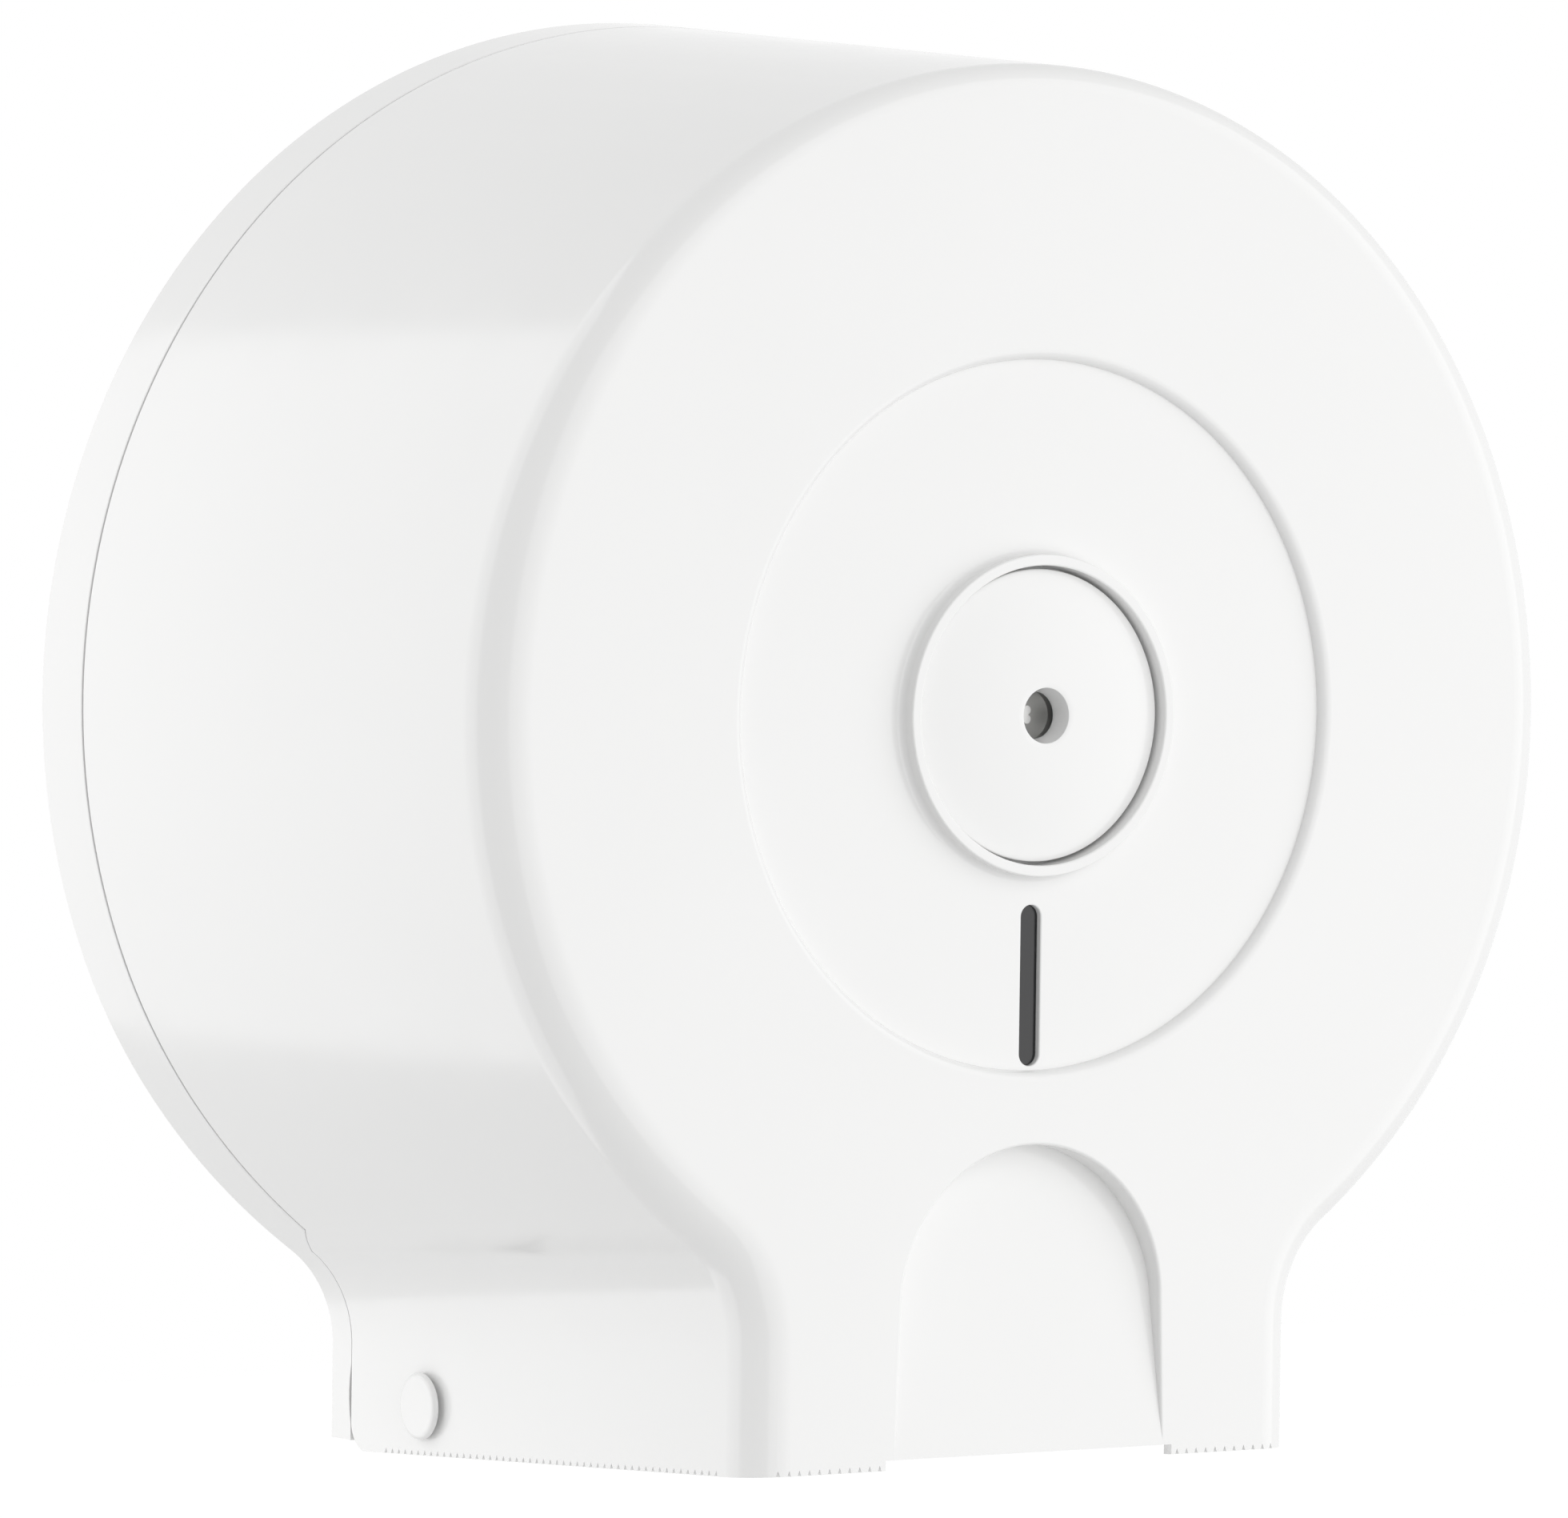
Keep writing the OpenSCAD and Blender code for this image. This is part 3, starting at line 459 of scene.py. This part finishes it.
def material(name, colour, roughness, metallic=0.0, coat=0.0, grain=0.0, grain_scale=900.0,
             wave=0.0, tint=0.012, spread=0.03, stretch=(1, 1, 1), ior=1.5):
    """Principled surface with fine grain, slow waves in its relief and slight drifts of colour and gloss."""
    mat = bpy.data.materials.new(name)
    mat.use_nodes = True
    tree = mat.node_tree
    link = tree.links.new
    shader = tree.nodes["Principled BSDF"]
    shader.inputs["Metallic"].default_value = metallic
    shader.inputs["IOR"].default_value = ior
    shader.inputs["Coat Weight"].default_value = coat
    shader.inputs["Coat Roughness"].default_value = 0.06
    place = tree.nodes.new("ShaderNodeTexCoord")
    scaled = tree.nodes.new("ShaderNodeMapping")
    scaled.inputs["Scale"].default_value = stretch
    link(place.outputs["Object"], scaled.inputs["Vector"])

    def noise(scale, detail):
        made = tree.nodes.new("ShaderNodeTexNoise")
        made.inputs["Scale"].default_value = scale
        made.inputs["Detail"].default_value = detail
        link(scaled.outputs["Vector"], made.inputs["Vector"])
        return made.outputs["Fac"]

    def remap(value, low, high):
        made = tree.nodes.new("ShaderNodeMapRange")
        made.inputs["From Min"].default_value = 0.3
        made.inputs["From Max"].default_value = 0.7
        made.inputs["To Min"].default_value = low
        made.inputs["To Max"].default_value = high
        link(value, made.inputs["Value"])
        return made.outputs["Result"]

    drift = noise(22, 3)
    mix = tree.nodes.new("ShaderNodeMix")
    mix.data_type = "RGBA"
    mix.inputs["A"].default_value = (*[c * (1 - tint) for c in colour], 1)
    mix.inputs["B"].default_value = (*[min(c * (1 + tint), 1) for c in colour], 1)
    link(remap(drift, 0, 1), mix.inputs["Factor"])
    link(mix.outputs["Result"], shader.inputs["Base Color"])
    link(remap(noise(70, 4), roughness - spread, roughness + spread), shader.inputs["Roughness"])
    normal = None
    for strength, scale, depth in ((wave, 28, 0.0004), (grain, grain_scale, 0.00004)):
        if strength:
            bump = tree.nodes.new("ShaderNodeBump")
            bump.inputs["Strength"].default_value = strength
            bump.inputs["Distance"].default_value = depth
            link(noise(scale, 2), bump.inputs["Height"])
            if normal:
                link(normal, bump.inputs["Normal"])
            normal = bump.outputs["Normal"]
    if normal:
        link(normal, shader.inputs["Normal"])
    return mat


white = material("white_gloss_plastic", (0.865, 0.865, 0.86), 0.13, wave=0.05, grain=0.06, tint=0.004,
                 spread=0.03)
# Opaque near-black level window: its smoked tint plus painted shade standing in for the dark inside behind the slot
smoked_pane_and_painted_shade = material("smoked_pane", (0.010, 0.010, 0.011), 0.16, tint=0.05, spread=0.03, wave=0.03)
inner_grey = material("inner_grey_plastic", (0.36, 0.37, 0.38), 0.42, grain=0.25, grain_scale=1400, tint=0.03)
zinc = material("zinc_plated_steel", (0.62, 0.63, 0.64), 0.33, metallic=1.0, grain=0.2, grain_scale=500,
                stretch=(1, 1, 6), tint=0.05, spread=0.07)
cast = material("cast_plated_metal", (0.74, 0.74, 0.73), 0.38, metallic=1.0, grain=0.12, grain_scale=900,
                tint=0.04, spread=0.05)

cover = make_cover()
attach(cover, "cover")
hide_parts("cover_shell")
back = make_back()
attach(back, "base")
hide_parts("back_shell")
rosette = make_rosette()
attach(rosette, "cover")
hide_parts("lock_rosette")
for side, node in ((-1, "hinge_pin_left"), (1, "hinge_pin_right")):
    pin = make_pin(side)
    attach(pin, "cover")
    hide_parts(node)
    pin.data.materials.append(white)
for obj in (cover, back, rosette):
    obj.data.materials.clear()
    obj.data.materials.append(white)

finishes = {
    inner_grey: ("spindle", "roll_spool", "thrust_washer"),
    zinc: ("spindle_screws", "retaining_ring", "lock_keeper", "keeper_screws", "rosette_screws", "lock_washer",
           "lock_nut", "lock_bolt", "bolt_screw", "hinge_clip_left", "hinge_clip_right"),
    cast: ("lock_housing", "lock_barrel"),
    # level window painted near-black: smoked tint together with painted shade of the dark inside
    smoked_pane_and_painted_shade: ("level_window",),
    white: ("cover_shell", "back_shell", "lock_rosette", "hinge_pin_left", "hinge_pin_right"),
}
for finish, names in finishes.items():
    for name in names:
        for slot in nodes[name].material_slots:
            slot.material = finish


# Floor, light and camera

FLOOR_Z, FLOOR_HALF = -1.15, 9
floor_mesh = bpy.data.meshes.new("floor")
floor_mesh.from_pydata([(x * FLOOR_HALF, y * FLOOR_HALF, FLOOR_Z) for x, y in ((-1, -1), (1, -1), (1, 1), (-1, 1))],
                       [], [(0, 1, 2, 3)])
floor = bpy.data.objects.new("floor", floor_mesh)
bpy.context.scene.collection.objects.link(floor)


def seen_white(tree, plain, output):
    """Shows white to the camera and in reflections, and plain to everything else."""
    path = tree.nodes.new("ShaderNodeLightPath")
    seen = path.outputs["Is Camera Ray"]
    for other in ("Is Glossy Ray", "Is Transmission Ray"):
        either = tree.nodes.new("ShaderNodeMath")
        either.operation = "MAXIMUM"
        tree.links.new(seen, either.inputs[0])
        tree.links.new(path.outputs[other], either.inputs[1])
        seen = either.outputs["Value"]
    mix = tree.nodes.new("ShaderNodeMixShader")
    tree.links.new(seen, mix.inputs[0])
    tree.links.new(plain, mix.inputs[1])
    tree.links.new(mix.outputs[0], output)
    return mix.inputs[2]


floor_mat = bpy.data.materials.new("floor_pale")
floor_mat.use_nodes = True
tree = floor_mat.node_tree
tree.nodes.clear()
out = tree.nodes.new("ShaderNodeOutputMaterial")
matt = tree.nodes.new("ShaderNodeBsdfDiffuse")
matt.inputs["Color"].default_value = (0.65, 0.65, 0.65, 1)
glow = tree.nodes.new("ShaderNodeEmission")
glow.inputs["Strength"].default_value = 1.3
half = tree.nodes.new("ShaderNodeMixShader")
half.inputs[0].default_value = 0.7
tree.links.new(matt.outputs[0], half.inputs[1])
tree.links.new(glow.outputs[0], half.inputs[2])
tree.links.new(half.outputs[0], seen_white(tree, matt.outputs[0], out.inputs["Surface"]))
floor_mesh.materials.append(floor_mat)

WORLD_LEVEL = 0.58
world = bpy.data.worlds.new("studio")
bpy.context.scene.world = world
world.use_nodes = True
tree = world.node_tree
tree.nodes.clear()
out = tree.nodes.new("ShaderNodeOutputWorld")
plain = tree.nodes.new("ShaderNodeBackground")
plain.inputs["Strength"].default_value = WORLD_LEVEL
bright = tree.nodes.new("ShaderNodeBackground")
bright.inputs["Color"].default_value = (1, 1, 1, 1)
plain.inputs["Color"].default_value = (1, 1, 1, 1)
bright.inputs["Strength"].default_value = 1.0
tree.links.new(bright.outputs[0], seen_white(tree, plain.outputs[0], out.inputs["Surface"]))


def softbox(name, azimuth, elevation, distance, size, power):
    """Area light at an angle round the object, aimed at the drum's middle."""
    light = bpy.data.lights.new(name, "AREA")
    light.shape = "RECTANGLE"
    light.size, light.size_y = size
    light.energy = power
    obj = bpy.data.objects.new(name, light)
    bpy.context.scene.collection.objects.link(obj)
    az, el = math.radians(azimuth), math.radians(elevation)
    back_dir = Vector((math.sin(az) * math.cos(el), -math.cos(az) * math.cos(el), math.sin(el)))
    obj.location = Vector((0, -0.075, 0)) + back_dir * distance
    obj.rotation_euler = back_dir.to_track_quat("Z", "Y").to_euler()
    obj.visible_camera = False
    return obj


softbox("front", 24, 2, 1.3, (3.1, 2.2), 19.5)
softbox("side_left", -120, 0, 0.7, (0.82, 2.2), 5.4)

CAMERA_AZ, CAMERA_EL, CAMERA_ROLL = math.radians(-34.16), math.radians(1.65), math.radians(0.77)
CAMERA_DISTANCE, CAMERA_TARGET = 1.7678, Vector((-0.0605, -0.1476, -0.0082))
FOCAL_PX, WIDTH_PX, SENSOR = 11531.05, 1960, 36.0
to_camera = Vector((math.sin(CAMERA_AZ) * math.cos(CAMERA_EL), -math.cos(CAMERA_AZ) * math.cos(CAMERA_EL),
                    math.sin(CAMERA_EL)))
right = (-to_camera).cross(Vector((0, 0, 1))).normalized()
up = right.cross(-to_camera)
turned_right = right * math.cos(CAMERA_ROLL) + up * math.sin(CAMERA_ROLL)
turned_up = up * math.cos(CAMERA_ROLL) - right * math.sin(CAMERA_ROLL)
camera_data = bpy.data.cameras.new("camera")
camera_data.sensor_fit = "HORIZONTAL"
camera_data.sensor_width = SENSOR
camera_data.lens = SENSOR * FOCAL_PX / WIDTH_PX
camera_data.clip_start, camera_data.clip_end = 0.05, 60
camera = bpy.data.objects.new("camera", camera_data)
bpy.context.scene.collection.objects.link(camera)
camera.matrix_world = (Matrix.Translation(CAMERA_TARGET + to_camera * CAMERA_DISTANCE)
                       @ Matrix((turned_right, turned_up, to_camera)).transposed().to_4x4())
bpy.context.scene.camera = camera
bpy.context.scene.view_settings.view_transform = "Standard"
